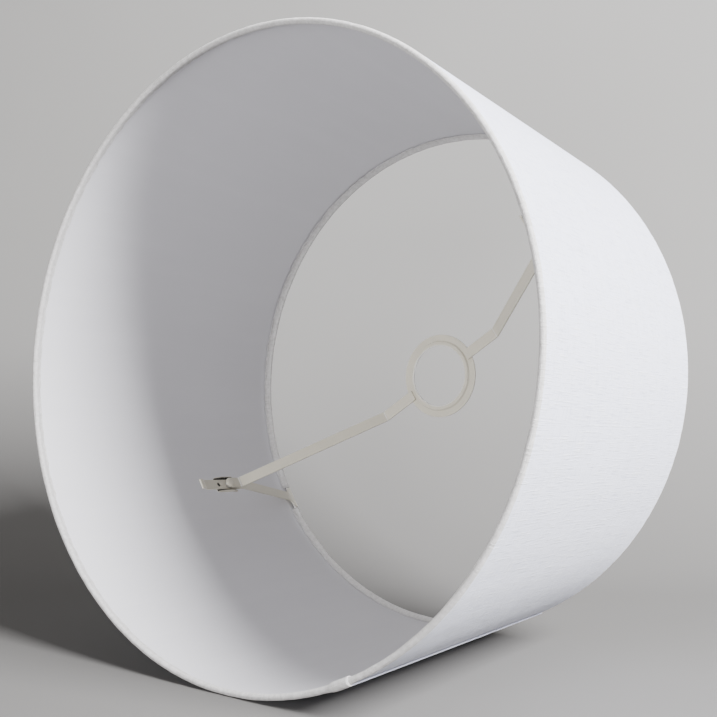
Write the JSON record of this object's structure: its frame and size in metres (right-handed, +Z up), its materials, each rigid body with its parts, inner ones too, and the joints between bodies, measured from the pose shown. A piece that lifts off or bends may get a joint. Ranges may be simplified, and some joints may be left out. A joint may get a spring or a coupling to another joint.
{
  "type": "lamp shade",
  "caption": "Tapered drum lamp shade in white linen on a stiff liner, with rolled rims and a reversible gimbal fitter that swings a lampholder ring between its two ends.",
  "frame": {"origin": "centre of the shade's base, on the surface that its large rim stands on", "axes": "+Z up along the shade's axis from the large rim to the small rim, +X along the pivot line of the fitter's arms, +Y towards the cover's seam"},
  "size_m": [0.3598, 0.3598, 0.2065],
  "materials": {
    "linen": "matt white plain-weave linen with fine slubs",
    "liner": "smooth matt white lining sheet",
    "ring_wire": "off-white coated steel wire",
    "coated_steel": "satin ivory powder coat",
    "washer_steel": "dull zinc-plated steel"
  },
  "bodies": {
    "shade": {"fabric_cover": "linen", "liner": "liner", "large_wire_ring": "ring_wire", "small_wire_ring": "ring_wire", "left_leg": "coated_steel", "right_leg": "coated_steel", "left_yoke": "coated_steel", "right_yoke": "coated_steel", "left_friction_washer": "washer_steel", "right_friction_washer": "washer_steel", "left_pivot_rivet": "coated_steel", "right_pivot_rivet": "coated_steel"},
    "fitter": {"fitter_ring": "coated_steel", "left_arm": "coated_steel", "right_arm": "coated_steel"}
  },
  "joints": [
    {"name": "fitter_tilt", "type": "hinge", "parent": "shade", "child": "fitter", "pos_m": [0, 0, 0.117], "axis": [1, 0, 0], "continuous": true}
  ]
}
